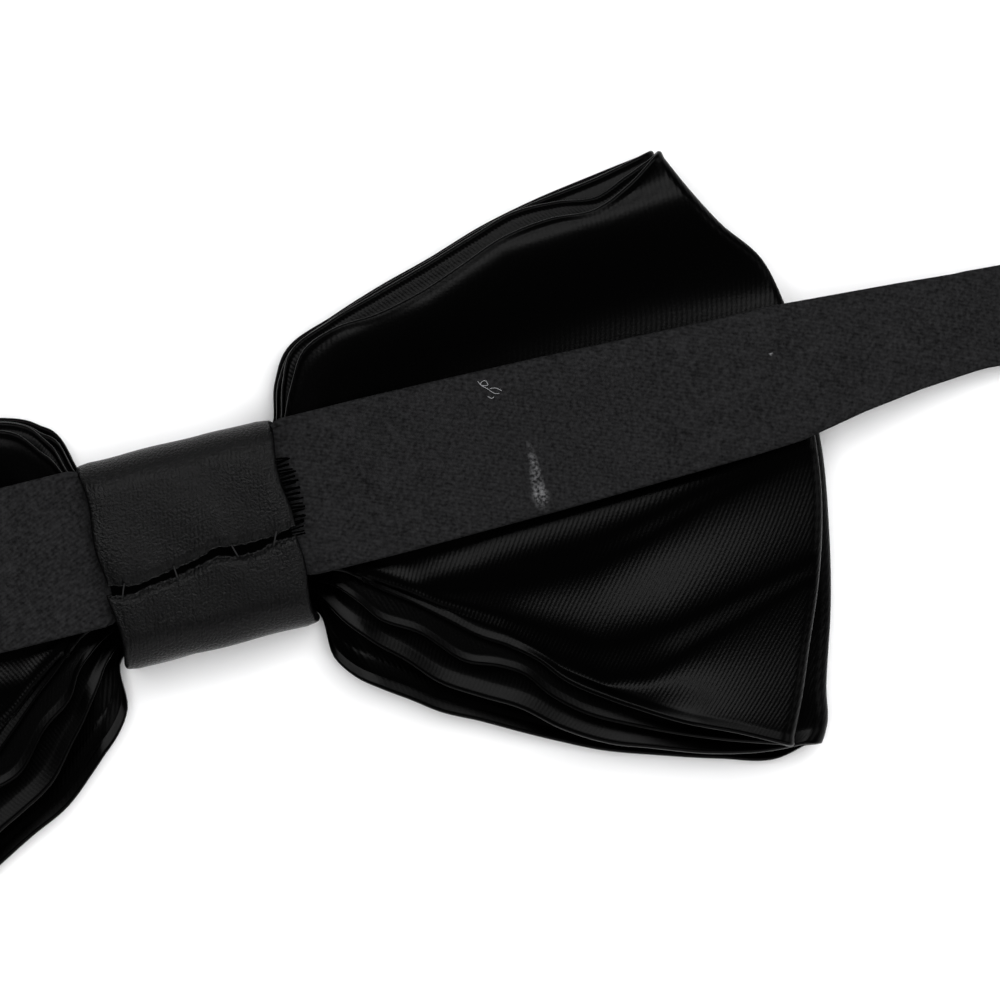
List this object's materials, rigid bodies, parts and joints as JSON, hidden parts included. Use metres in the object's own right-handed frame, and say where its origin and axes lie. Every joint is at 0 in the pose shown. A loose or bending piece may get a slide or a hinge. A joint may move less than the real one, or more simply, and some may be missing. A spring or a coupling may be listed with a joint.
{
  "type": "bow tie",
  "caption": "Pre-tied satin butterfly bow tie with a sewn knot wrap and an adjustable neck band that fastens with a hook and eye.",
  "frame": {"origin": "middle of the knot's flat front face, which the tie rests on when it lies face down", "axes": "+X along the neck band towards the adjuster and hook, +Y up the bow as worn, +Z out of the knot's back towards the wearer's collar"},
  "size_m": [0.3826, 0.0613, 0.014],
  "materials": {
    "bow_satin": "glossy twill-woven satin",
    "knot_satin": "glossy twill-woven satin",
    "band_cloth": "dull finely ribbed cloth",
    "interlining": "stiff unbleached felt",
    "sewing_thread": "twisted sewing thread",
    "nickel": "bright nickel plating"
  },
  "bodies": {
    "bow_and_knot": {"back_bow_shell": "bow_satin", "back_bow_interlining": "interlining", "front_bow_shell": "bow_satin", "front_bow_interlining": "interlining", "gather_thread": "sewing_thread", "knot_wrap_shell": "knot_satin", "knot_wrap_interlining": "interlining", "knot_seam_stitches": "sewing_thread", "neck_band_centre": "band_cloth", "band_interlining_centre": "interlining"},
    "right_inner_arm": {"neck_band_right_inner": "band_cloth", "band_interlining_right_inner": "interlining"},
    "right_outer_arm": {"neck_band_right_outer": "band_cloth", "band_interlining_right_outer": "interlining"},
    "adjuster": {"adjuster_slide": "nickel", "adjuster_strap_tab": "band_cloth", "adjuster_tab_stitches": "sewing_thread", "return_strap": "band_cloth"},
    "hook_fold": {"hook_strap_loop": "band_cloth"},
    "hook": {"hook": "nickel"},
    "left_inner_arm": {"neck_band_left_inner": "band_cloth", "band_interlining_left_inner": "interlining"},
    "left_outer_arm": {"neck_band_left_outer": "band_cloth", "band_interlining_left_outer": "interlining", "eye_tab_stitches": "sewing_thread"},
    "eye": {"eye": "nickel"}
  },
  "joints": [
    {"name": "right_arm_lift", "type": "hinge", "parent": "bow_and_knot", "child": "right_inner_arm", "pos_m": [0.0106, 0.0022, 0.0124], "axis": [0, -1, 0], "range_deg": [0, 51.5]},
    {"name": "right_arm_wrap", "type": "hinge", "parent": "right_inner_arm", "child": "right_outer_arm", "pos_m": [0.1, 0.0022, 0.0023], "axis": [0, -1, 0], "range_deg": [0, 81.5]},
    {"name": "adjuster_travel", "type": "slide", "parent": "right_outer_arm", "child": "adjuster", "axis": [1, 0, 0], "range_m": [0, 0.04], "deforming": ["return_strap"]},
    {"name": "hook_draw", "type": "slide", "parent": "right_outer_arm", "child": "hook_fold", "axis": [1, 0, 0], "range_m": [0, 0.02]},
    {"name": "hook_swing", "type": "hinge", "parent": "hook_fold", "child": "hook", "pos_m": [0.165, 0.0022, 0.0022], "axis": [0, -1, 0], "range_deg": [0, 45]},
    {"name": "left_arm_lift", "type": "hinge", "parent": "bow_and_knot", "child": "left_inner_arm", "pos_m": [-0.0106, 0.0022, 0.0124], "axis": [0, 1, 0], "range_deg": [0, 51.5]},
    {"name": "left_arm_wrap", "type": "hinge", "parent": "left_inner_arm", "child": "left_outer_arm", "pos_m": [-0.1, 0.0022, 0.0013], "axis": [0, 1, 0], "range_deg": [0, 81.5]},
    {"name": "eye_swing", "type": "hinge", "parent": "left_outer_arm", "child": "eye", "pos_m": [-0.19, 0.0022, 0.0022], "axis": [0, 1, 0], "range_deg": [0, 45]}
  ],
  "couplings": [
    {"joint": "hook_draw", "follows": "adjuster_travel", "ratio": 0.5}
  ]
}
